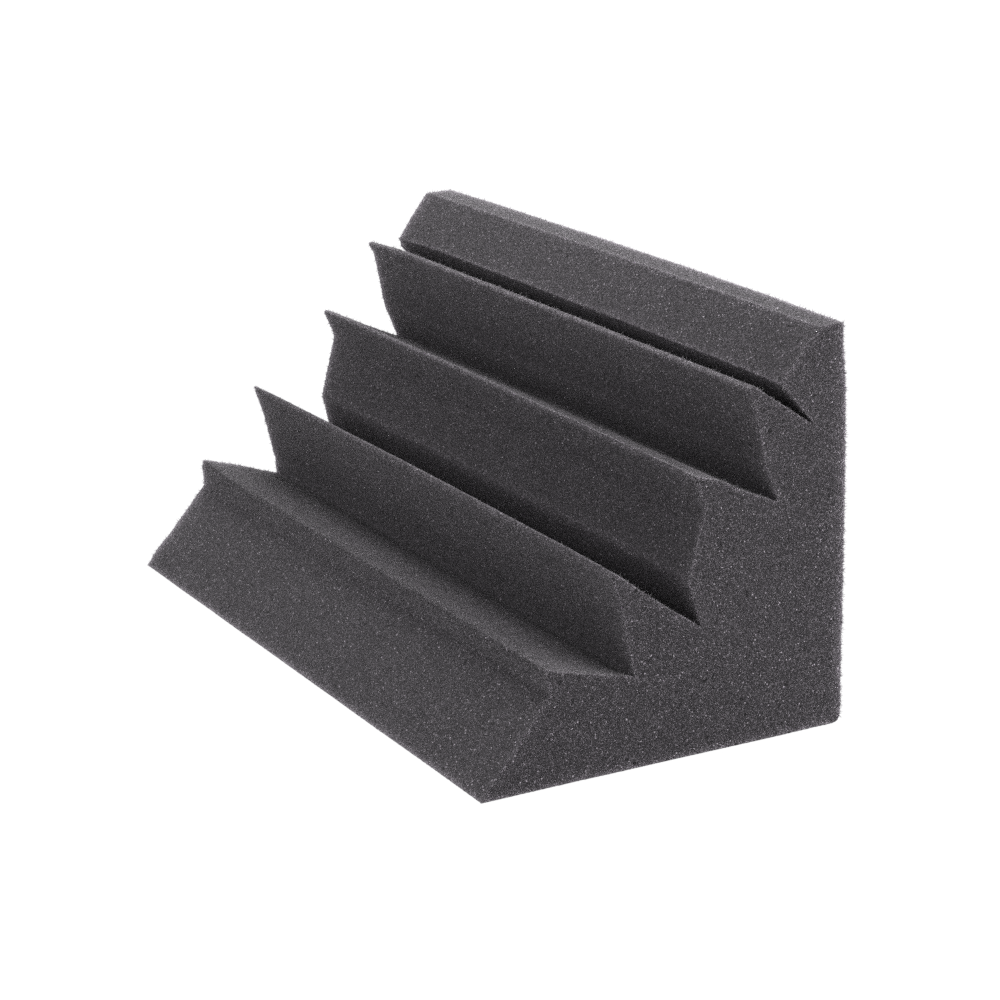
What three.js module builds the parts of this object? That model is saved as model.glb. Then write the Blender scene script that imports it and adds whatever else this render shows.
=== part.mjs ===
// A corner bass trap: one block of open-cell foam, cut along its length with a contour wire.
// It fills the corner between two flat surfaces. Its flat back and bottom faces go against
// them, and deep sharp fins stand out of its sloping front. All sizes are in millimetres.
// +X runs along the trap, +Y points at the surface behind it and +Z points up. The origin is
// the middle of the bottom face.

import * as THREE from 'three';

// The block that the trap is cut from
const trapLength = 610;
const trapDepth = 305;
const trapHeight = 305;

// The flat strip that ends the top block
const topStripWidth = 23;

// The wire leaves a small round at each edge and at the bottom of each groove
const sharpEdgeRadius = 0.8;
const toeRadius = 0.4;
const finEdgeRadius = 1.5;
const grooveRootRadius = 0.6;
const heelRadius = 7;

// Colour and finish of the foam
const foamColour = 0x48464a;
const foamRoughness = 1;

// Places on the cut front are [share of the depth, forward from the back face; share of the
// height, up from the bottom face]. The top block's sloping face ends at the slit's lip.
const slitLipShares = [0.1755, 0.871];

// The fins from the top block down. A fin's top face rises from the root of the groove above
// it, over a crest where it has one, to its tip. There its blunt edge starts, with its own
// run forward and drop. Its front face falls through its bends to the next groove, or to the
// toe below the last fin. Crests and bends are rounded to the fin's bend radius.
const fins = [
  {
    rootShares: [0.079, 0.756],
    crestShares: [],
    tipShares: [0.253, 0.8785],
    edgeRun: 4.6,
    edgeDrop: 1,
    bendShares: [[0.224, 0.678]],
    bendRadius: 14,
  },
  {
    rootShares: [0.186, 0.5905],
    crestShares: [],
    tipShares: [0.4125, 0.6885],
    edgeRun: 1.5,
    edgeDrop: 2.4,
    bendShares: [
      [0.393, 0.605],
      [0.4375, 0.4315],
    ],
    bendRadius: 11,
  },
  {
    rootShares: [0.4, 0.314],
    crestShares: [[0.513, 0.405]],
    tipShares: [0.643, 0.4925],
    edgeRun: 1.2,
    edgeDrop: 4.4,
    bendShares: [],
    bendRadius: 11,
  },
  {
    rootShares: [0.5845, 0.2255],
    crestShares: [],
    tipShares: [0.816, 0.2895],
    edgeRun: 2.6,
    edgeDrop: 4.6,
    bendShares: [[0.8155, 0.222]],
    bendRadius: 6,
  },
];

// Each round is drawn in twice this many steps
const halfRoundSteps = 3;

function corner(depth, height, radius) {
  return { point: new THREE.Vector2(depth, height), radius };
}

function cornerAt([depthShare, heightShare], radius) {
  return corner(depthShare * trapDepth, heightShare * trapHeight, radius);
}

// The corners of one fin: groove root, crest, both corners of its blunt edge, then its bends.
function finCorners(fin) {
  const tip = cornerAt(fin.tipShares, finEdgeRadius);
  const edgeEnd = corner(tip.point.x + fin.edgeRun, tip.point.y - fin.edgeDrop, finEdgeRadius);
  return [
    cornerAt(fin.rootShares, grooveRootRadius),
    ...fin.crestShares.map((shares) => cornerAt(shares, fin.bendRadius)),
    tip,
    edgeEnd,
    ...fin.bendShares.map((shares) => cornerAt(shares, fin.bendRadius)),
  ];
}

// Every corner of the end face, from the top of the back face round the cut front to the heel.
function profileCorners() {
  return [
    corner(0, trapHeight, sharpEdgeRadius),
    corner(topStripWidth, trapHeight, sharpEdgeRadius),
    cornerAt(slitLipShares, sharpEdgeRadius),
    ...fins.flatMap(finCorners),
    corner(trapDepth, 0, toeRadius),
    corner(0, 0, heelRadius),
  ];
}

// Draws one corner as an arc that touches both of its sides. The arc takes at most half of
// the shorter side, so that neighbouring rounds never meet.
function drawRound(outline, before, { point, radius }, after) {
  const toBefore = before.point.clone().sub(point);
  const toAfter = after.point.clone().sub(point);
  const halfAngle = toBefore.angleTo(toAfter) / 2;
  const longestReach = Math.min(toBefore.length(), toAfter.length()) / 2;
  const reach = Math.min(radius / Math.tan(halfAngle), longestReach);
  const arcRadius = reach * Math.tan(halfAngle);
  const turnsRight = toBefore.cross(toAfter) > 0;

  const start = toBefore.normalize().multiplyScalar(reach);
  const end = toAfter.normalize().multiplyScalar(reach);
  const centre = start.clone().add(end).setLength(arcRadius / Math.sin(halfAngle));
  const startAngle = start.sub(centre).angle();
  const endAngle = end.sub(centre).angle();
  centre.add(point);
  outline.absarc(centre.x, centre.y, arcRadius, startAngle, endAngle, turnsRight);
}

// The end face as a closed outline, with x forward from the back face and y up.
function endFace() {
  const corners = profileCorners();
  const outline = new THREE.Shape();
  corners.forEach((here, i) => {
    const before = corners.at(i - 1);
    const after = corners[(i + 1) % corners.length];
    drawRound(outline, before, here, after);
  });
  outline.closePath();
  return outline;
}

function foamBlock() {
  const geometry = new THREE.ExtrudeGeometry(endFace(), {
    depth: trapLength,
    bevelEnabled: false,
    curveSegments: halfRoundSteps,
  });
  const foam = new THREE.MeshStandardMaterial({
    color: foamColour,
    roughness: foamRoughness,
    metalness: 0,
  });
  const block = new THREE.Mesh(geometry, foam);
  block.name = 'foam_block';

  // Turns the outline's x to face forward, its y up, and the cut along the length
  block.rotation.set(Math.PI / 2, 0, -Math.PI / 2, 'ZYX');
  block.position.set(trapLength / 2, trapDepth / 2, 0);
  return block;
}

const cornerBassTrap = new THREE.Group();
cornerBassTrap.add(foamBlock());

export default cornerBassTrap;
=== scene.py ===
import math

import bmesh
import bpy
import numpy as np
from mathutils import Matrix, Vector, geometry, noise


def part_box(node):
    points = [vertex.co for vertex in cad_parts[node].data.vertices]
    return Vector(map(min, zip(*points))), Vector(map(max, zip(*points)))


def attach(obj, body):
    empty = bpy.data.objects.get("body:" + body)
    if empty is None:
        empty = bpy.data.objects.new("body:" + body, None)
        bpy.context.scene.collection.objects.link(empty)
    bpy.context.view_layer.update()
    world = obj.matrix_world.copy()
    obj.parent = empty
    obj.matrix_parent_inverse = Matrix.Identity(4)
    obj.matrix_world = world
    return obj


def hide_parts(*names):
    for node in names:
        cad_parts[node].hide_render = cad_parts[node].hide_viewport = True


# The looks of a corner bass trap: one block of charcoal open-cell foam, cut with a contour
# wire. The block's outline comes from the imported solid, so it stands where the solid does.
# Sizes are in metres. +X runs along the trap, +Y points at the wall behind it, +Z is up.

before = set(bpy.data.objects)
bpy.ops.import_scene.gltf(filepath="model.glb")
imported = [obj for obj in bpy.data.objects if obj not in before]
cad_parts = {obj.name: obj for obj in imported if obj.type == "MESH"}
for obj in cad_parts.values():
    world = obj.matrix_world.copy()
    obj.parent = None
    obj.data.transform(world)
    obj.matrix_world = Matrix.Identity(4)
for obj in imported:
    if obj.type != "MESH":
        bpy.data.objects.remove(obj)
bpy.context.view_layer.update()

MM = 0.001
WELD = 0.02 * MM

# The skin of the block is fine beside its sharp edges and coarse inside its faces. Each row
# is (spacing, nearest distance from a sharp edge, furthest distance from it).
EDGE_STEP = 1.0 * MM
SKIN_GRADES = [
    (1.0 * MM, 0.6 * MM, 1.8 * MM),
    (2.0 * MM, 1.8 * MM, 5.0 * MM),
    (7.0 * MM, 5.0 * MM, 1.0),
]
# How closely the triangles keep to the points that they are given
FILL_PRECISION = WELD * MM
# Points whose distance from the outline is measured at a time
POINTS_AT_A_TIME = 2000
LONGEST_ROUND_STEP = 2.5 * MM
SHORTEST_ROUND_STEP = 0.5 * MM
# A gentle bend or a groove root is fine only near the end faces
LEAST_FINE_SHARPNESS = 0.3
GENTLE_STEPS = 5
END_BAND = 5.0 * MM
GENTLE_GAP = 2.5 * MM

# Out of square: how far each end face leans along the trap, for each metre forward from the
# back face and for each metre up, and how far the far end reaches past its true place.
NEAR_END_LEAN = (0.008, -0.0192)
FAR_END_LEAN = (-0.0066, 0.0015)
FAR_END_SHIFT = -0.9 * MM

# Where the wire strayed from the true outline. Each row is a place on the outline and then
# the stray at the near end and at the far end, all as (forward, up) in millimetres.
WIRE_STRAY = [
    ((0, 0), (0, 0), (0, 0)),
    ((0, 200), (-2.4, 0), (-2.6, 0)),
    ((0, 250), (-2.1, 0), (-1.8, 0)),
    ((0, 305), (1.1, -0.6), (-0.8, -0.5)),
    ((23, 305), (-0.9, -1.6), (0.9, -0.7)),
    ((38, 285.6), (0, -0.4), (0.4, 0.4)),
    ((53.5, 265.7), (0.9, 0.0), (-1.2, 1.7)),
    ((24.1, 230.6), (0, 0), (0, 0)),
    ((77.2, 267.9), (0.6, -0.5), (0.4, 0.0)),
    ((81.8, 266.9), (-0.2, -0.7), (-0.1, 0.5)),
    ((76, 241), (-1.4, 0), (-1.6, 0)),
    ((68.3, 206.8), (-0.2, 0), (0, 0)),
    ((56.7, 180.1), (0.3, -0.6), (1, 1)),
    ((86.2, 192.9), (0, -1.2), (0, -1.5)),
    ((105, 201), (0, 1), (0, -1.5)),
    ((125.8, 210), (1.6, -1.0), (-1.2, 0.3)),
    ((127.3, 207.6), (-0.6, -1.3), (0.2, 1.4)),
    ((119.9, 184.5), (0, 0), (0, 0)),
    ((133.4, 131.6), (0, 0), (0, 0)),
    ((122, 95.8), (0.4, -0.3), (0.6, 0.6)),
    ((156.5, 123.5), (0, -3.2), (0, 0)),
    ((196.1, 150.2), (0.2, 0.0), (0.3, 0.3)),
    ((197.3, 145.8), (-1, -1.1), (0.4, 2.3)),
    ((191.5, 122), (-1.5, 0), (-1.5, 0)),
    ((181.5, 82), (0.6, 0), (-1.1, 0)),
    ((178.3, 68.8), (0.3, 0.4), (0.9, 1.2)),
    ((226, 82), (0, -1), (0, -1.2)),
    ((248.9, 88.3), (1.6, -1.0), (0.7, 0.1)),
    ((251.5, 83.7), (-0.2, 0), (-0.3, 0)),
    ((248.7, 67.7), (-0.3, 0.8), (0.5, -0.7)),
    ((276, 34.5), (0.4, 0), (0.2, 0)),
    ((305, 0), (0.9, 0), (-1.8, 0)),
]
# How far the block bows out in the middle of its length, beyond the line from end to end
WIRE_BOW = [
    ((0, 0), (0, 0)),
    ((0, 200), (-0.4, 0.4)),
    ((0, 305), (0, 1.9)),
    ((23, 305), (0, 1.4)),
    ((53.5, 265.7), (0, 1.6)),
    ((24.1, 230.6), (0, 0.5)),
    ((81.8, 266.9), (0, 0.5)),
    ((56.7, 180.1), (0, 0.5)),
    ((127.3, 207.6), (0, 1.2)),
    ((122, 95.8), (0, 0.5)),
    ((197.3, 145.8), (0, 1.6)),
    ((178.3, 68.8), (0, 0)),
    ((305, 0), (0, 0)),
]
# How far the outline curls off at the far end, which fades out along the trap
FAR_CURL = [
    ((0, 0), (0, 0)),
    ((0, 305), (0, -0.4)),
    ((23, 305), (0, -0.6)),
    ((38, 285.6), (-0.6, -0.4)),
    ((53.5, 265.7), (-0.3, -2.4)),
    ((46, 256.7), (3.5, -1.5)),
    ((24.1, 230.6), (0, 0)),
    ((77.2, 267.9), (0.8, -2.4)),
    ((81.8, 266.9), (0.7, -2.4)),
    ((79, 254.6), (-0.9, 0)),
    ((76, 241), (0, 0)),
    ((56.7, 180.1), (-2.4, -4.4)),
    ((86.2, 192.9), (0, -0.9)),
    ((105, 201), (0, 0.2)),
    ((125.8, 210), (0.1, -1.1)),
    ((127.3, 207.6), (-0.4, -1.2)),
    ((119.9, 184.5), (-1.7, 0)),
    ((133.4, 131.6), (-1.5, 0)),
    ((122, 95.8), (0.4, 0)),
    ((196.1, 150.2), (0, -0.8)),
    ((197.3, 145.8), (-1.1, -0.4)),
    ((191.5, 122), (-1.2, 0)),
    ((181.5, 82), (-1.0, 0)),
    ((178.3, 68.8), (-1.2, -2.8)),
    ((226, 82), (0, 2.3)),
    ((248.9, 88.3), (-2.0, 0.8)),
    ((251.5, 83.7), (-2.0, 1.0)),
    ((248.7, 67.7), (-1.7, 0)),
    ((276, 34.5), (-0.7, 0)),
    ((298.5, 7.7), (2.2, 1.6)),
    ((305, 0), (1.4, 1.2)),
]
CURL_REACH = 33 * MM
WAVE_HEIGHT = 0.5 * MM
WAVE_LENGTH = 90 * MM
WAVE_SEED = 1785

# Cut edges: torn open cells, and painted edge light, a paler colour where light passes through
TORN_DEPTH = 0.8 * MM
TORN_SIZE = 1.5 * MM
WIDE_TORN_STRETCH = 3
WIDE_TORN_SHARE = 0.4
TORN_REACH = 2.5 * MM
BACK_TORN_SHARE = 1.0
INNER_TORN_SHARE = 0.62
FAR_TORN_SHARE = 0.75
LENGTHWISE_TORN_SHARE = 0.5
RESTING_TORN_SHARE = 0.3
PAINTED_LIGHT_REACH = 1.5 * MM
FAR_PAINTED_LIGHT_REACH = 2.6 * MM
# A weak tail of the painted edge light reaches further in
PAINTED_LIGHT_TAIL = 0.08
TAIL_STRETCH = 5
FLOOR_PAINTED_LIGHT_SHARE = 1.1
BACK_PAINTED_LIGHT_SHARE = 2.0
INNER_PAINTED_LIGHT_SHARE = 0.35
FAR_PAINTED_LIGHT_SHARE = 2.2
# The blunt edge of the last fin is thick, so it has no painted edge light: its place and reach
BLUNT_FIN = (250 * MM, 86 * MM)
BLUNT_FIN_ROUND = 6 * MM
# An edge is fully sharp from this turn on, and while its round is no longer than this
SHARP_TURN = math.radians(55)
SHARP_ROUND = 3.0 * MM

# The ends of torn struts, which stand out of the sharp edges as a fine fringe
STRUTS_PER_SQUARE_METRE = 4.6e6
STRUT_LENGTH = 2.2 * MM
STRUT_RADIUS = 0.2 * MM
STRUT_SIDES = 3
STRUT_ROOT_SHARE = 0.3
STRUT_LEAN = math.radians(50)
STRUT_FLOOR_GAP = 2.5 * MM
STRUT_SEED = 5
STRUT_CROWDING = 3.0
# Most struts are near the smallest size, as a share of the full length, and a few are long
SMALLEST_STRUT = 0.35
STRUT_SIZE_RANGE = 1.9
STRUT_SIZE_SKEW = 4.0

# The block's faces are laid flat on a square pattern sheet, in two columns with gaps between
SHEET_SIDE = 1.26
SHEET_GAP = 0.01

# Finish
FOAM_COLOUR = (0.1005, 0.0925, 0.1024)
CELL = 0.55 * MM
CELL_DEPTH = 0.35 * MM
LIGHT_REACH = 1.3 * MM
# Brightness from here on is a share of the foam's own colour. The struts round a pore are
# bright, and the pore is painted darker in its middle, from this slope inward, as shade.
PORE_SLOPE = 4.0
RIM_BRIGHTNESS = 1.45
PORE_SHADE = 0.8
# A few cells are far brighter than the others
PLAIN_CELL = 0.585
BRIGHT_CELL_GAIN = 3.7
BRIGHT_CELL_SKEW = 8.0
# Painted glints: rare cells painted far brighter, as highlights where struts catch a lamp
PAINTED_GLINT_CELL = 0.9 * MM
PAINTED_GLINT_SHARE = 0.007
PAINTED_GLINT_GAIN = 6.0
# Painted shade: rare cells painted darker, as the shade deep inside pits
PIT_CELL = 2.2 * MM
PIT_SHARE = 0.01
PIT_SHADE = 0.6
MOTTLES_PER_METRE = 22.0
MOTTLE_DETAIL = 3.0
MOTTLE_LEAST = 0.88
MOTTLE_RANGE = 0.24
# Painted edge light: how much paler the colour gets at the cut edges, at its strongest
PAINTED_LIGHT_GAIN = 3.0
BRIGHTEST = 8.0

# The studio floor is painted white. For the camera it glows, and it is real paint only by
# this share near the block, where its shadow falls.
FLOOR_REACH = 15.0
FLOOR_GLOW = 1.06
FLOOR_PAINT_SHARE = 0.08
FLOOR_PAINT_END = 0.5

# The soft boxes point at the middle of the block. Each row is a name, a place, the length of
# a side and the power in watts.
BLOCK_MIDDLE = Vector((0, 0, 0.15))
ROOM_LIGHT = 0.041
SOFT_BOXES = [
    ("top_box", (0, 0.1, 1.6), 0.7, 8.3),
    ("front_box", (0, -2.5, 1.3), 1.4, 8.6),
    ("front_left_box", (-1.6, -2.0, 1.3), 1.4, 12.0),
    ("left_box", (-2.6, 0.2, 0.8), 1.4, 10.2),
    ("left_back_box", (-1.0, 0.5, 0.6), 0.7, 4.4),
    ("back_box", (0.6, 2.6, 0.8), 1.4, 5.7),
    ("right_back_box", (1.05, 0.85, 1.3), 1.4, 10.9),
    ("right_box", (1.3, 1.0, 0.8), 1.4, 6.3),
]


# The cut outline


def end_outline(solid):
    """The outline of the solid's end face as (forward, up), from the heel up the back first."""
    mesh = bmesh.new()
    mesh.from_mesh(solid.data)
    bmesh.ops.remove_doubles(mesh, verts=mesh.verts, dist=WELD)
    end = max(v.co.x for v in mesh.verts)
    back = max(v.co.y for v in mesh.verts)

    def on_end(item):
        return all(end - v.co.x < WELD for v in item.verts)

    beside = {}
    for edge in mesh.edges:
        if on_end(edge) and not all(on_end(face) for face in edge.link_faces):
            one, other = (Vector((back - v.co.y, v.co.z)).freeze() for v in edge.verts)
            beside.setdefault(one, []).append(other)
            beside.setdefault(other, []).append(one)
    mesh.free()

    first = min(beside, key=lambda p: (round(p.x, 5), p.y))
    outline = [first, max(beside[first], key=lambda p: p.y)]
    while len(outline) < len(beside):
        outline.append(next(p for p in beside[outline[-1]] if p != outline[-2]))
    return np.array(outline)


def thinned(points):
    """The points of a round, without those that are too close together."""
    kept = [points[0]]
    for point in points[1:-1]:
        room = min(np.linalg.norm(point - kept[-1]), np.linalg.norm(point - points[-1]))
        if room >= SHORTEST_ROUND_STEP:
            kept.append(point)
    if len(kept) == 1:
        kept.append(points[len(points) // 2])
    return np.array([*kept, points[-1]])


def faces_and_rounds(outline):
    """The outline as lines in turn: flat faces of two points, and the rounds between them."""
    ends = np.roll(outline, -1, axis=0)
    is_face = np.linalg.norm(ends - outline, axis=1) > LONGEST_ROUND_STEP
    lines, points = [], []
    for start, end, face in zip(outline, ends, is_face):
        if face:
            if points:
                lines.append(thinned([*points, start]))
            lines.append(np.array([start, end]))
            points = []
        else:
            points.append(start)
    if points:
        lines.append(thinned([*points, outline[0]]))
    return lines


def fine_steps(start, end):
    """Places along a line at the edge step, both ends among them."""
    count = max(1, round(float(np.linalg.norm(np.subtract(end, start))) / EDGE_STEP))
    return np.linspace(start, end, count + 1)


def fine_outline(lines):
    """The outline with its faces cut up at the edge step, and each point's place along it."""
    pieces = [fine_steps(*line) if len(line) == 2 else line for line in lines]
    points = np.vstack([piece[:-1] for piece in pieces])
    lengths = np.linalg.norm(np.roll(points, -1, axis=0) - points, axis=1)
    return points, np.concatenate([[0], np.cumsum(lengths[:-1])])


def along_steps(half_length, sharp):
    """Places along the trap for the points of a bend: fine everywhere if it is sharp."""
    steps = fine_steps([-half_length], [half_length])[:, 0]
    kept = (np.arange(len(steps)) % GENTLE_STEPS == 0) | (half_length - abs(steps) < END_BAND)
    return steps if sharp else steps[kept]


def sharpness(lines, k):
    """How sharp and how far outward the outline turns at line k, from 0 to 1."""
    before, here, after = lines[k - 1], lines[k], lines[(k + 1) % len(lines)]
    if len(here) == 2:
        return 0.0
    arriving, leaving = before[-1] - before[-2], after[1] - after[0]
    cross = arriving[0] * leaving[1] - arriving[1] * leaving[0]
    turn = math.atan2(-cross, float(arriving @ leaving))
    tightness = SHARP_ROUND / max(SHARP_ROUND, np.linalg.norm(np.diff(here, axis=0), axis=1).sum())
    return min(1.0, max(0.0, turn / SHARP_TURN)) * tightness


def painted_light_share(on_floor, on_back):
    """How strong the painted edge light on an edge is, as colour made paler. The most light passes
    through at the back and at the floor.
    """
    if on_floor:
        return FLOOR_PAINTED_LIGHT_SHARE
    return BACK_PAINTED_LIGHT_SHARE if on_back else INNER_PAINTED_LIGHT_SHARE


def edge_shares(lines, k):
    """How torn the round at line k is, how strong its painted edge light is, and how far that
    reaches.
    """
    line = lines[k]
    on_floor, on_back = line[:, 1].min() < WELD, line[:, 0].min() < WELD
    sharp = sharpness(lines, k)
    torn = RESTING_TORN_SHARE if on_floor else LENGTHWISE_TORN_SHARE
    painted_light = painted_light_share(on_floor, on_back)
    if np.linalg.norm(line.mean(0) - BLUNT_FIN) < BLUNT_FIN_ROUND:
        painted_light = 0.0
    return torn * sharp, painted_light * sharp, PAINTED_LIGHT_REACH


def end_shares(on_floor, on_back, near):
    """How torn an edge of an end face is, how strong its painted edge light is, and how far that
    reaches.
    """
    torn = FAR_TORN_SHARE
    looks = FAR_PAINTED_LIGHT_SHARE, FAR_PAINTED_LIGHT_REACH
    if near:
        torn = BACK_TORN_SHARE if on_back else INNER_TORN_SHARE
        looks = painted_light_share(on_floor, on_back), PAINTED_LIGHT_REACH
    elif on_floor or on_back:
        looks = INNER_PAINTED_LIGHT_SHARE, PAINTED_LIGHT_REACH
    return RESTING_TORN_SHARE if on_floor else torn, *looks


# Patches of the skin


def hexagon_grid(low, high, spacing):
    """Points in rows, each row shifted by half a step from the last."""
    rows = np.arange(low[1], high[1], spacing * math.sqrt(0.75))
    points = []
    for k, y in enumerate(rows):
        x = np.arange(low[0] + (k % 2) * spacing / 2, high[0], spacing)
        points.append(np.column_stack([x, np.full(len(x), y)]))
    return np.vstack(points)


def in_order(triangles):
    """The same triangles in one fixed order, because Blender's order changes from run to run."""
    first = triangles.argmin(1)[:, None]
    turned = np.take_along_axis(triangles, (first + np.arange(3)) % 3, axis=1)
    return turned[np.lexsort(turned.T[::-1])]


def fill_loop(loop, edge_distance):
    """Triangles over a closed loop, fine beside it: (points, triangles)."""
    points = [loop]
    for spacing, nearest, furthest in SKIN_GRADES:
        grid = hexagon_grid(loop.min(0), loop.max(0), spacing)
        distance = edge_distance(grid)
        points.append(grid[(distance >= nearest) & (distance < furthest)])
    count = len(loop)
    sides = [(i, (i + 1) % count) for i in range(count)]
    points = np.vstack(points)
    made = geometry.delaunay_2d_cdt([Vector(p) for p in points], sides, [], 1, FILL_PRECISION)
    given = np.array([sources[0] for sources in made[3]])
    return points[given], in_order(np.array([tuple(f) for f in made[2]]))


def distance_inside(outline):
    """A function that tells how far points lie inside a closed outline, below 0 outside."""
    start = outline
    along = np.roll(outline, -1, axis=0) - start
    end_up = start[:, 1] + along[:, 1]

    def distance(points):
        offset = points[:, None] - start
        share = np.clip((offset * along).sum(2) / (along**2).sum(1), 0, 1)
        gap = np.linalg.norm(offset - share[..., None] * along, axis=2).min(1)
        level = points[:, 1:2]
        crosses = (start[:, 1] > level) != (end_up > level)
        with np.errstate(divide="ignore", invalid="ignore"):
            crossing = start[:, 0] + (level - start[:, 1]) * along[:, 0] / along[:, 1]
        inside = (crosses & (points[:, :1] < crossing)).sum(1) % 2 == 1
        return np.where(inside, gap, -gap)

    return lambda points: np.concatenate(
        [distance(part) for part in np.array_split(points, 1 + len(points) // POINTS_AT_A_TIME)]
    )


def torn_and_painted_light(distance, shares):
    """How torn the foam is, and how strong its painted edge light is, at a distance from an edge
    that has these shares.
    """
    torn, painted_light, reach = shares
    distance = np.maximum(distance, 0)
    tail = PAINTED_LIGHT_TAIL * np.exp(-distance / (TAIL_STRETCH * reach))
    return np.array([
        torn * np.exp(-np.square(distance / TORN_REACH)),
        painted_light * (np.exp(-distance / reach) + tail),
    ])


def grid_triangles(rows, columns):
    """Two triangles for each cell of a grid whose points are numbered row by row."""
    row, column = np.meshgrid(range(rows - 1), range(columns - 1), indexing="ij")
    first = (row * columns + column).ravel()
    other = first + columns
    return np.vstack([
        np.column_stack([first, other, other + 1]),
        np.column_stack([first, other + 1, first + 1]),
    ])


def face_skin(width, turns, half_length):
    """A face that runs along the trap: its points laid flat as (across, along), and triangles.

    turns are how sharply the outline turns at the face's two sides.
    """
    first, last = (along_steps(half_length, turn > LEAST_FINE_SHARPNESS) for turn in turns)
    across = fine_steps([0.0], [width])[:, 0]
    loop = np.vstack([
        np.column_stack([across[:-1], np.full(len(across) - 1, -half_length)]),
        np.column_stack([np.full(len(last) - 1, width), last[:-1]]),
        np.column_stack([across[:0:-1], np.full(len(across) - 1, half_length)]),
        np.column_stack([np.zeros(len(first) - 1), first[:0:-1]]),
    ])

    def to_edge(points):
        gaps = [half_length - np.abs(points[:, 1])]
        for gap, turn in zip((points[:, 0], width - points[:, 0]), turns):
            # A gentle bend needs no fine skin beside it
            gentle = np.where(gap < GENTLE_GAP, 0, SKIN_GRADES[-1][1] + gap)
            gaps.append(gap if turn > LEAST_FINE_SHARPNESS else gentle)
        return np.minimum.reduce(gaps)

    return fill_loop(loop, to_edge)


def lengthwise_patch(lines, k, half_length):
    """One face or round that runs along the trap.

    Gives its points laid flat as (across, along), their places on the end face, the
    triangles, how torn each point is and how much painted edge light it has, and the width of the
    patch.
    """
    line = lines[k]
    after = (k + 1) % len(lines)
    marks = np.concatenate([[0], np.cumsum(np.linalg.norm(np.diff(line, axis=0), axis=1))])
    width = marks[-1]
    if len(line) == 2:
        turns = sharpness(lines, k - 1), sharpness(lines, after)
        flat, triangles = face_skin(width, turns, half_length)
        looks = np.maximum(
            torn_and_painted_light(flat[:, 0], edge_shares(lines, k - 1)),
            torn_and_painted_light(width - flat[:, 0], edge_shares(lines, after)),
        )
    else:
        columns = along_steps(half_length, sharpness(lines, k) > LEAST_FINE_SHARPNESS)
        flat = np.array([(across, x) for across in marks for x in columns])
        triangles = grid_triangles(len(marks), len(columns))
        looks = torn_and_painted_light(np.zeros(len(flat)), edge_shares(lines, k))
    on_floor, on_back = line[:, 1].max() < WELD, line[:, 0].max() < WELD
    for side in (1, -1):
        shares = end_shares(on_floor, on_back, near=side > 0)
        looks = np.maximum(looks, torn_and_painted_light(half_length - side * flat[:, 1], shares))
    section = np.column_stack([np.interp(flat[:, 0], marks, line[:, i]) for i in (0, 1)])
    return flat, section, triangles, looks, width


def end_looks(rim, gap, near):
    """How torn the points of an end face are, and how much painted edge light they have, from
    their gaps to its rim.
    """
    on_floor, on_back = rim[:, 1] < WELD, rim[:, 0] < WELD
    looks = np.zeros((2, len(gap)))
    for here in (on_floor, on_back & ~on_floor, ~on_back & ~on_floor):
        torn, painted_light, reach = end_shares(on_floor[here].any(), on_back[here].any(), near)
        if not near:
            # The stronger painted edge light of the far end is on the faces that run up to it
            painted_light, reach = INNER_PAINTED_LIGHT_SHARE, PAINTED_LIGHT_REACH
        looks = np.maximum(looks, torn_and_painted_light(gap[:, here].min(1), (torn, painted_light, reach)))
    return looks


def end_patches(lines, half_length, left, shelf):
    """The patches of both end faces, which lie on the pattern sheet from (left, shelf) up."""
    rim, places = fine_outline(lines)
    inside = distance_inside(np.vstack([line[:-1] for line in lines]))
    section, triangles = fill_loop(rim, inside)
    gap = np.linalg.norm(section[:, None] - rim[None], axis=2)
    patches = []
    for side in (1, -1):
        patches.append({
            "along": np.full(len(section), side * half_length),
            "section": section,
            "outline": places[gap.argmin(1)],
            "looks": end_looks(rim, gap, near=side > 0).T,
            "sheet": section + (left, shelf),
            "triangles": triangles[:, ::-1] if side > 0 else triangles,
        })
        shelf += section[:, 1].max() + SHEET_GAP
    return patches


def block_patches(lines, half_length):
    """Every patch of the block: dicts of arrays, with a row for each of its points.

    along: place along the trap; section: (forward, up) on the end face; outline: place along
    the outline; looks: how torn, and how much painted edge light; sheet: place on the pattern
    sheet.
    """
    patches = []
    start, column, column_start = 0.0, 0, 0.0
    for k in range(len(lines)):
        flat, section, triangles, looks, width = lengthwise_patch(lines, k, half_length)
        if column == 0 and start + width > SHEET_SIDE - SHEET_GAP:
            column, column_start = 1, start
        left = SHEET_GAP / 2 + column * (2 * half_length + SHEET_GAP)
        sheet = (left + half_length + flat[:, 1], start - column_start + flat[:, 0])
        patches.append({
            "along": flat[:, 1],
            "section": section,
            "outline": start + flat[:, 0],
            "looks": looks.T,
            "sheet": np.column_stack(sheet),
            "triangles": triangles,
        })
        start += width
    return patches + end_patches(lines, half_length, left, start - column_start + SHEET_GAP)


# The shape of the real block


def round_outline(table, lines, places):
    """The values of a table, in metres, at places along the outline, eased from row to row."""
    points, marks = fine_outline(lines)
    rows = []
    for place, *values in table:
        closest = np.linalg.norm(points - np.multiply(place, MM), axis=1).argmin()
        rows.append((marks[closest], *np.multiply(values, MM).ravel()))
    rows = np.array(sorted(rows))
    whole = marks[-1] + np.linalg.norm(points[-1] - points[0])
    rows = np.vstack([rows[-1], rows, rows[0]])
    rows[0, 0] -= whole
    rows[-1, 0] += whole

    row = np.clip(np.searchsorted(rows[:, 0], places) - 1, 0, len(rows) - 2)
    before, after = rows[row], rows[row + 1]
    share = (places - before[:, 0]) / np.maximum(after[:, 0] - before[:, 0], WELD)
    share = (share**2 * (3 - 2 * share))[:, None]
    return before[:, 1:] + (after[:, 1:] - before[:, 1:]) * share


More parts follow.
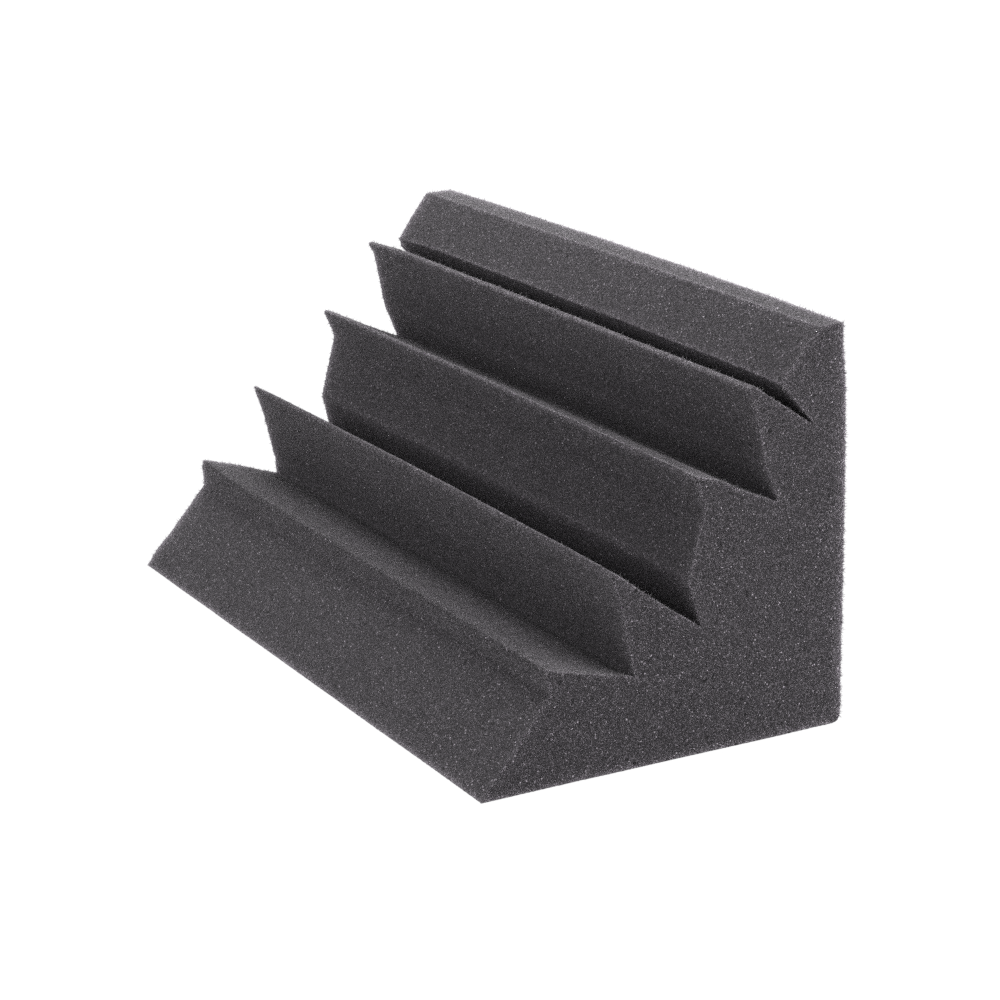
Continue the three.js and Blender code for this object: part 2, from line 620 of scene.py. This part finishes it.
def stray(lines, places, shares):
    """How far the real cut lies off the true outline, as (forward, up) for each point.

    shares say where each point is along the trap, from 0 at the far end to 1 at the near one.
    """
    near = shares[:, None]
    ends = round_outline(WIRE_STRAY, lines, places)
    bow = round_outline(WIRE_BOW, lines, places)
    return ends[:, :2] * near + ends[:, 2:] * (1 - near) + bow * 4 * near * (1 - near)


def waves(points):
    """A smooth wander of the surface at each point, the same on every run."""
    noise.seed_set(WAVE_SEED)
    return np.array([noise.noise_vector(Vector(p) / WAVE_LENGTH) * WAVE_HEIGHT for p in points])


def welded(patches):
    """The patches as one skin, in which each point is kept once.

    It is a dict like theirs, but its sheet has a row for each corner of each triangle.
    """
    names = "along", "section", "outline", "looks", "sheet"
    along, section, outline, looks, sheet = (
        np.concatenate([patch[name] for patch in patches]) for name in names
    )
    rounded = np.round(np.column_stack([along, section]) / WELD).astype(int)
    _, kept, point_of = np.unique(rounded, axis=0, return_index=True, return_inverse=True)
    point_of = point_of.ravel()
    starts = np.cumsum([0] + [len(patch["along"]) for patch in patches[:-1]])
    corners = np.vstack([patch["triangles"] + s for patch, s in zip(patches, starts)])
    strongest = np.zeros((len(kept), 2))
    np.maximum.at(strongest, point_of, looks)
    return {
        "along": along[kept],
        "section": section[kept],
        "outline": outline[kept],
        "looks": strongest,
        "sheet": sheet[corners.ravel()],
        "triangles": point_of[corners],
    }


def real_points(skin, lines, half_length, back):
    """Where the points of the skin lie on the real block, which leans, strays, curls and waves."""
    along, section, places = skin["along"], skin["section"], skin["outline"]
    share = (along + half_length) / (2 * half_length)
    lean = section @ np.array([NEAR_END_LEAN, FAR_END_LEAN]).T
    curl = np.exp(-np.square((along + half_length) / CURL_REACH))
    section = section + stray(lines, places, share)
    section += round_outline(FAR_CURL, lines, places) * curl[:, None]
    points = np.column_stack([
        along + lean[:, 0] * share + (lean[:, 1] + FAR_END_SHIFT) * (1 - share),
        back - section[:, 0],
        section[:, 1],
    ])
    return points + waves(points)


def tear(points):
    """How far the foam is torn at each point, as a share of the torn depth, out or in."""
    return np.array([
        noise.noise(Vector(p) / TORN_SIZE)
        + WIDE_TORN_SHARE * noise.noise(Vector(p) / TORN_SIZE / WIDE_TORN_STRETCH)
        for p in points
    ])


def foam_mesh(solid):
    """The block of foam as one closed mesh, which rests on the floor."""
    low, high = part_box(solid.name)
    half_length = (high.x - low.x) / 2
    lines = faces_and_rounds(end_outline(solid))
    skin = welded(block_patches(lines, half_length))
    points = real_points(skin, lines, half_length, high.y)
    points[:, 2] = np.maximum(points[:, 2], low.z)

    mesh = bpy.data.meshes.new("cut_foam_block")
    mesh.from_pydata(points.tolist(), [], skin["triangles"].tolist())
    mesh.validate()
    normals = np.empty(len(points) * 3)
    mesh.vertex_normals.foreach_get("vector", normals)
    torn, painted_light = skin["looks"].T
    depth = tear(points) * TORN_DEPTH * torn
    points += normals.reshape(-1, 3) * depth[:, None]
    points[:, 2] = np.maximum(points[:, 2], low.z)
    mesh.vertices.foreach_set("co", points.ravel())
    mesh.update()

    # The second attribute is painted light: how much paler the colour is made near the cut edges,
    # where light passes through
    for name, values in (("torn_edge", torn), ("painted_edge_light", painted_light)):
        mesh.attributes.new(name, "FLOAT", "POINT").data.foreach_set("value", values.copy())
    sheet = skin["sheet"] / SHEET_SIDE
    mesh.uv_layers.new(name="OFBake").data.foreach_set("uv", sheet.ravel())
    mesh.shade_smooth()
    return mesh


# Node trees


def add_node(tree, kind, **settings):
    """A new node of a tree, with its settings."""
    node = tree.nodes.new(kind)
    for name, value in settings.items():
        setattr(node, name, value)
    return node


def feed(tree, node, **values):
    """Gives a node's inputs their values or links. An underscore in a name stands for a space."""
    for name, value in values.items():
        socket = node.inputs[name.replace("_", " ")]
        if isinstance(value, bpy.types.NodeSocket):
            tree.links.new(value, socket)
        else:
            socket.default_value = value
    return node


def maths(tree, operation, first, second=None, third=None, clamp=False):
    """A Math node with numbers or sockets as its inputs. Gives its output socket."""
    node = add_node(tree, "ShaderNodeMath", operation=operation, use_clamp=clamp)
    for socket, value in zip(node.inputs, (first, second, third)):
        if isinstance(value, bpy.types.NodeSocket):
            tree.links.new(value, socket)
        elif value is not None:
            socket.default_value = value
    return node.outputs[0]


# The fringe of torn struts


def scattered_roots(tree, given):
    """Points that crowd on the sharp edges, and stay off the edges that rest on the floor."""
    edge = feed(tree, add_node(tree, "GeometryNodeInputNamedAttribute"), Name="torn_edge")
    crowding = maths(tree, "POWER", edge.outputs["Attribute"], STRUT_CROWDING)
    place = add_node(tree, "ShaderNodeSeparateXYZ")
    tree.links.new(add_node(tree, "GeometryNodeInputPosition").outputs[0], place.inputs[0])
    raised = maths(tree, "GREATER_THAN", place.outputs["Z"], given["Floor Gap"])
    density = maths(tree, "MULTIPLY", crowding, given["Struts per Area"])
    density = maths(tree, "MULTIPLY", density, raised)
    scatter = add_node(tree, "GeometryNodeDistributePointsOnFaces")
    feed(tree, scatter, Mesh=given["Geometry"], Density=density, Seed=given["Seed"])
    return scatter.outputs


def one_strut(tree, given):
    """A thin cone that stands up, with its root sunk in."""
    cone = add_node(tree, "GeometryNodeMeshCone", fill_type="NGON")
    feed(tree, cone, Vertices=STRUT_SIDES, Radius_Bottom=given["Radius"], Depth=given["Length"])
    sunk = maths(tree, "MULTIPLY", given["Root Share"], given["Length"])
    root = add_node(tree, "ShaderNodeCombineXYZ")
    feed(tree, root, Z=maths(tree, "MULTIPLY", sunk, -1.0))
    seated = add_node(tree, "GeometryNodeTransform")
    feed(tree, seated, Geometry=cone.outputs["Mesh"], Translation=root.outputs[0])
    return seated.outputs[0]


def strut_scales(tree, given):
    """A size for each strut."""
    size = feed(tree, add_node(tree, "FunctionNodeRandomValue"), Seed=given["Seed"])
    size = maths(tree, "POWER", size.outputs[1], STRUT_SIZE_SKEW)
    return maths(tree, "MULTIPLY_ADD", size, STRUT_SIZE_RANGE, SMALLEST_STRUT)


def strut_leans(tree, given):
    """A lean to any side, and a turn, for each strut."""
    lean = add_node(tree, "FunctionNodeRandomValue", data_type="FLOAT_VECTOR")
    feed(tree, lean, Seed=given["Seed"])
    for socket, sign in zip(lean.inputs[:2], (-1.0, 1.0)):
        reach = maths(tree, "MULTIPLY", given["Lean"], sign)
        limits = add_node(tree, "ShaderNodeCombineXYZ")
        feed(tree, limits, X=reach, Y=reach, Z=sign * math.pi)
        tree.links.new(limits.outputs[0], socket)
    return lean.outputs[0]


def strut_tree(inputs):
    """Geometry nodes that scatter small torn struts along the cut edges of a mesh."""
    tree = bpy.data.node_groups.new("torn_struts", "GeometryNodeTree")
    tree.interface.new_socket(name="Geometry", in_out="INPUT", socket_type="NodeSocketGeometry")
    for name, (kind, _) in inputs.items():
        tree.interface.new_socket(name=name, in_out="INPUT", socket_type=kind)
    tree.interface.new_socket(name="Geometry", in_out="OUTPUT", socket_type="NodeSocketGeometry")
    given = add_node(tree, "NodeGroupInput").outputs
    result = add_node(tree, "NodeGroupOutput")

    roots = scattered_roots(tree, given)
    placed = add_node(tree, "GeometryNodeInstanceOnPoints")
    feed(
        tree, placed, Points=roots["Points"], Rotation=roots["Rotation"],
        Instance=one_strut(tree, given), Scale=strut_scales(tree, given),
    )
    leant = add_node(tree, "GeometryNodeRotateInstances")
    feed(
        tree, leant, Instances=placed.outputs[0], Rotation=strut_leans(tree, given),
        Local_Space=True,
    )
    real = feed(tree, add_node(tree, "GeometryNodeRealizeInstances"), Geometry=leant.outputs[0])
    finished = add_node(tree, "GeometryNodeSetMaterial")
    feed(tree, finished, Geometry=real.outputs[0], Material=given["Foam"])
    tree.links.new(finished.outputs[0], result.inputs[0])
    return tree


def strut_sheet(triangle_count):
    """Places on the pattern sheet for every corner of the struts: four triangles to a square."""
    count = triangle_count // 4
    side = math.ceil(math.sqrt(count))
    strut = np.arange(count)
    square = np.column_stack([strut % side, strut // side])
    quarter = np.array([(0, 0), (0.5, 0), (0, 0.5), (0.5, 0.5)])
    low, high = 0.06, 0.44
    triangle = np.array([(low, low), (high, low), (low, high)])
    inside = quarter[:, None] + triangle
    return ((square[:, None, None] + inside) / side).reshape(-1, 2)


def torn_strut_ends(block, foam):
    """The fringe of torn struts on the block's sharp edges, as one plain mesh."""
    inputs = {
        "Struts per Area": ("NodeSocketFloat", STRUTS_PER_SQUARE_METRE),
        "Length": ("NodeSocketFloat", STRUT_LENGTH),
        "Radius": ("NodeSocketFloat", STRUT_RADIUS),
        "Root Share": ("NodeSocketFloat", STRUT_ROOT_SHARE),
        "Lean": ("NodeSocketFloat", STRUT_LEAN),
        "Floor Gap": ("NodeSocketFloat", STRUT_FLOOR_GAP),
        "Seed": ("NodeSocketInt", STRUT_SEED),
        "Foam": ("NodeSocketMaterial", foam),
    }
    tree = strut_tree(inputs)
    fringe = bpy.data.objects.new("torn_strut_ends", block.data)
    bpy.context.scene.collection.objects.link(fringe)
    modifier = fringe.modifiers.new("torn_struts", "NODES")
    modifier.node_group = tree
    for item in tree.interface.items_tree:
        if item.name in inputs:
            modifier[item.identifier] = inputs[item.name][1]
    evaluated = fringe.evaluated_get(bpy.context.evaluated_depsgraph_get())
    mesh = bpy.data.meshes.new_from_object(evaluated)
    mesh.name = "torn_strut_ends"
    fringe.modifiers.remove(modifier)
    fringe.data = mesh
    for layer in list(mesh.uv_layers):
        mesh.uv_layers.remove(layer)
    sheet = strut_sheet(len(mesh.polygons))
    mesh.uv_layers.new(name="OFBake").data.foreach_set("uv", sheet.ravel())
    return fringe


# Finish


def open_pores(tree, place):
    """How far inside the open middle of a cell a point is, from 0 on the struts round it to 1."""
    walls = add_node(tree, "ShaderNodeTexVoronoi", feature="DISTANCE_TO_EDGE")
    walls.inputs["Scale"].default_value = 1.0
    tree.links.new(place, walls.inputs["Vector"])
    return maths(tree, "MULTIPLY", walls.outputs["Distance"], PORE_SLOPE, clamp=True)


def chance(tree, place, size):
    """A random number from 0 to 1 for each cell of this size."""
    cells = add_node(tree, "ShaderNodeTexVoronoi", feature="F1")
    cells.inputs["Scale"].default_value = CELL / size
    tree.links.new(place, cells.inputs["Vector"])
    split = add_node(tree, "ShaderNodeSeparateColor")
    tree.links.new(cells.outputs["Color"], split.inputs[0])
    return split.outputs[0]


def speckle(tree, place, pore):
    """How bright the foam is, as a share of its own colour, with painted shade in pores and pits
    and painted glints. The struts round a pore are bright.
    """
    # Painted shade in the middle of each pore
    shade = maths(tree, "MULTIPLY_ADD", pore, -PORE_SHADE, RIM_BRIGHTNESS)
    varied = maths(tree, "POWER", chance(tree, place, CELL), BRIGHT_CELL_SKEW)
    varied = maths(tree, "MULTIPLY_ADD", varied, BRIGHT_CELL_GAIN, PLAIN_CELL)
    level = maths(tree, "MULTIPLY", shade, varied)
    # Painted shade in rare deep pits
    pit = maths(tree, "GREATER_THAN", chance(tree, place, PIT_CELL), 1 - PIT_SHARE)
    pit_shade = maths(tree, "MULTIPLY_ADD", pit, -PIT_SHADE, 1.0)
    level = maths(tree, "MULTIPLY", level, pit_shade)
    # Painted glints: highlights of struts, painted into the colour
    painted_glint = maths(tree, "GREATER_THAN", chance(tree, place, PAINTED_GLINT_CELL), 1 - PAINTED_GLINT_SHARE)
    return maths(tree, "MULTIPLY_ADD", painted_glint, PAINTED_GLINT_GAIN, level)


def open_cells():
    """A shader group: the open cells of cut foam, as a colour and a height."""
    tree = bpy.data.node_groups.new("open_cells", "ShaderNodeTree")
    sockets = tree.interface
    for name, kind, value in (
        ("Position", "NodeSocketVector", None),
        ("Foam Colour", "NodeSocketColor", (*FOAM_COLOUR, 1)),
        ("Cell Size", "NodeSocketFloat", CELL),
        ("Painted Edge Light", "NodeSocketFloat", 0.0),
    ):
        socket = sockets.new_socket(name=name, in_out="INPUT", socket_type=kind)
        if value is not None:
            socket.default_value = value
    sockets.new_socket(name="Colour", in_out="OUTPUT", socket_type="NodeSocketColor")
    sockets.new_socket(name="Height", in_out="OUTPUT", socket_type="NodeSocketFloat")
    given = add_node(tree, "NodeGroupInput").outputs
    result = add_node(tree, "NodeGroupOutput").inputs

    scaled = add_node(tree, "ShaderNodeVectorMath", operation="DIVIDE")
    tree.links.new(given["Position"], scaled.inputs[0])
    tree.links.new(given["Cell Size"], scaled.inputs[1])
    pore = open_pores(tree, scaled.outputs[0])
    level = speckle(tree, scaled.outputs[0], pore)

    # Slow changes of tone over the block, and painted edge light that makes the cut edges paler as
    # if light passes through them
    mottle = add_node(tree, "ShaderNodeTexNoise")
    mottle.inputs["Scale"].default_value = MOTTLES_PER_METRE
    mottle.inputs["Detail"].default_value = MOTTLE_DETAIL
    tree.links.new(given["Position"], mottle.inputs["Vector"])
    tone = maths(tree, "MULTIPLY_ADD", mottle.outputs[0], MOTTLE_RANGE, MOTTLE_LEAST)
    level = maths(tree, "MULTIPLY", level, tone)
    edge = maths(tree, "MULTIPLY_ADD", given["Painted Edge Light"], PAINTED_LIGHT_GAIN, 1.0)
    level = maths(tree, "MINIMUM", maths(tree, "MULTIPLY", level, edge), BRIGHTEST)

    colour = add_node(tree, "ShaderNodeVectorMath", operation="SCALE")
    tree.links.new(given["Foam Colour"], colour.inputs[0])
    tree.links.new(level, colour.inputs["Scale"])
    tree.links.new(colour.outputs[0], result["Colour"])
    tree.links.new(maths(tree, "SUBTRACT", 1.0, pore), result["Height"])
    return tree


def charcoal_foam():
    """Matt charcoal foam: speckled with open cells, and painted paler along its cut edges as light
    passing through them.
    """
    material = bpy.data.materials.new("charcoal_foam")
    material.use_nodes = True
    tree = material.node_tree
    shader = tree.nodes["Principled BSDF"]
    shader.inputs["Roughness"].default_value = 0.95
    shader.inputs["Specular IOR Level"].default_value = 0.15
    shader.inputs["Sheen Weight"].default_value = 0.1
    shader.inputs["Sheen Roughness"].default_value = 0.6
    shader.inputs["Subsurface Weight"].default_value = 0.6
    shader.inputs["Subsurface Radius"].default_value = (1.0, 1.0, 1.0)
    shader.inputs["Subsurface Scale"].default_value = LIGHT_REACH

    place = add_node(tree, "ShaderNodeTexCoord")
    # Painted edge light, read from the block's points
    edge = add_node(tree, "ShaderNodeAttribute", attribute_name="painted_edge_light")
    cells = add_node(tree, "ShaderNodeGroup", node_tree=open_cells())
    bump = add_node(tree, "ShaderNodeBump")
    bump.inputs["Strength"].default_value = 0.5
    bump.inputs["Distance"].default_value = CELL_DEPTH
    tree.links.new(place.outputs["Object"], cells.inputs["Position"])
    tree.links.new(edge.outputs["Fac"], cells.inputs["Painted Edge Light"])
    tree.links.new(cells.outputs["Colour"], shader.inputs["Base Color"])
    tree.links.new(cells.outputs["Height"], bump.inputs["Height"])
    tree.links.new(bump.outputs["Normal"], shader.inputs["Normal"])
    return material


# The studio


def seen_directly(tree):
    """A socket that is 1 for rays which show the background, and 0 for rays which light."""
    rays = add_node(tree, "ShaderNodeLightPath")
    shows = rays.outputs["Is Camera Ray"]
    for kind in ("Is Glossy Ray", "Is Transmission Ray"):
        shows = maths(tree, "MAXIMUM", shows, rays.outputs[kind])
    return shows


def white_room(strength):
    """An even white room that lights the object softly and shows as plain white."""
    world = bpy.data.worlds.new("white_room")
    bpy.context.scene.world = world
    world.use_nodes = True
    tree = world.node_tree
    background = tree.nodes["Background"]
    background.inputs["Color"].default_value = (1, 1, 1, 1)
    shown = maths(tree, "MULTIPLY_ADD", seen_directly(tree), 1.0 - strength, strength)
    tree.links.new(shown, background.inputs["Strength"])


def white_paint():
    """A finish that shows as plain white, with only a trace of the block's shadow."""
    material = bpy.data.materials.new("white_floor")
    material.use_nodes = True
    tree = material.node_tree
    paint = tree.nodes["Principled BSDF"]
    paint.inputs["Base Color"].default_value = (0.8, 0.8, 0.8, 1)
    paint.inputs["Roughness"].default_value = 1.0
    paint.inputs["Specular IOR Level"].default_value = 0.0
    glow = add_node(tree, "ShaderNodeEmission")
    glow.inputs["Strength"].default_value = FLOOR_GLOW
    mix = add_node(tree, "ShaderNodeMixShader")
    middle = add_node(tree, "ShaderNodeVectorMath", operation="LENGTH")
    tree.links.new(add_node(tree, "ShaderNodeTexCoord").outputs["Object"], middle.inputs[0])
    fade = maths(tree, "SUBTRACT", middle.outputs["Value"], FLOOR_PAINT_END, clamp=True)
    white = maths(tree, "MULTIPLY_ADD", fade, FLOOR_PAINT_SHARE, 1 - FLOOR_PAINT_SHARE)
    tree.links.new(maths(tree, "MULTIPLY", seen_directly(tree), white), mix.inputs[0])
    tree.links.new(paint.outputs[0], mix.inputs[1])
    tree.links.new(glow.outputs[0], mix.inputs[2])
    tree.links.new(mix.outputs[0], tree.nodes["Material Output"].inputs["Surface"])
    return material


def studio_floor():
    """A wide white floor under the block."""
    mesh = bpy.data.meshes.new("studio_floor")
    far = FLOOR_REACH
    corners = [(-far, -far, 0), (far, -far, 0), (far, far, 0), (-far, far, 0)]
    mesh.from_pydata(corners, [], [(0, 1, 2, 3)])
    mesh.materials.append(white_paint())
    floor = bpy.data.objects.new("studio_floor", mesh)
    bpy.context.scene.collection.objects.link(floor)


def soft_box(name, place, side, power):
    """A square soft box that points at the middle of the block."""
    lamp = bpy.data.lights.new(name, "AREA")
    lamp.size = side
    lamp.energy = power
    box = bpy.data.objects.new(name, lamp)
    box.location = place
    box.rotation_euler = (BLOCK_MIDDLE - Vector(place)).to_track_quat("-Z", "Y").to_euler()
    box.visible_camera = False
    bpy.context.scene.collection.objects.link(box)


def photo_camera():
    """The camera that the photo was solved for."""
    lens = bpy.data.cameras.new("photo_camera")
    lens.sensor_width = 36.0
    lens.lens = 103.38
    lens.clip_end = 100.0
    camera = bpy.data.objects.new("photo_camera", lens)
    camera.location = (1.9410, -1.0263, 0.7803)
    camera.rotation_euler = [math.radians(a) for a in (73.1864, 0.6759, 61.1780)]
    bpy.context.scene.collection.objects.link(camera)
    bpy.context.scene.camera = camera


photo_camera()
bpy.context.scene.view_settings.view_transform = "Standard"
# The denoiser would smooth the open cells away
bpy.context.scene.cycles.use_denoising = False
white_room(ROOM_LIGHT)
studio_floor()
for row in SOFT_BOXES:
    soft_box(*row)

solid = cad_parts["foam_block"]
foam = charcoal_foam()
block = bpy.data.objects.new("cut_foam_block", foam_mesh(solid))
bpy.context.scene.collection.objects.link(block)
block.data.materials.append(foam)
fringe = torn_strut_ends(block, foam)
for piece in (block, fringe):
    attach(piece, "root")
    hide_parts("foam_block")
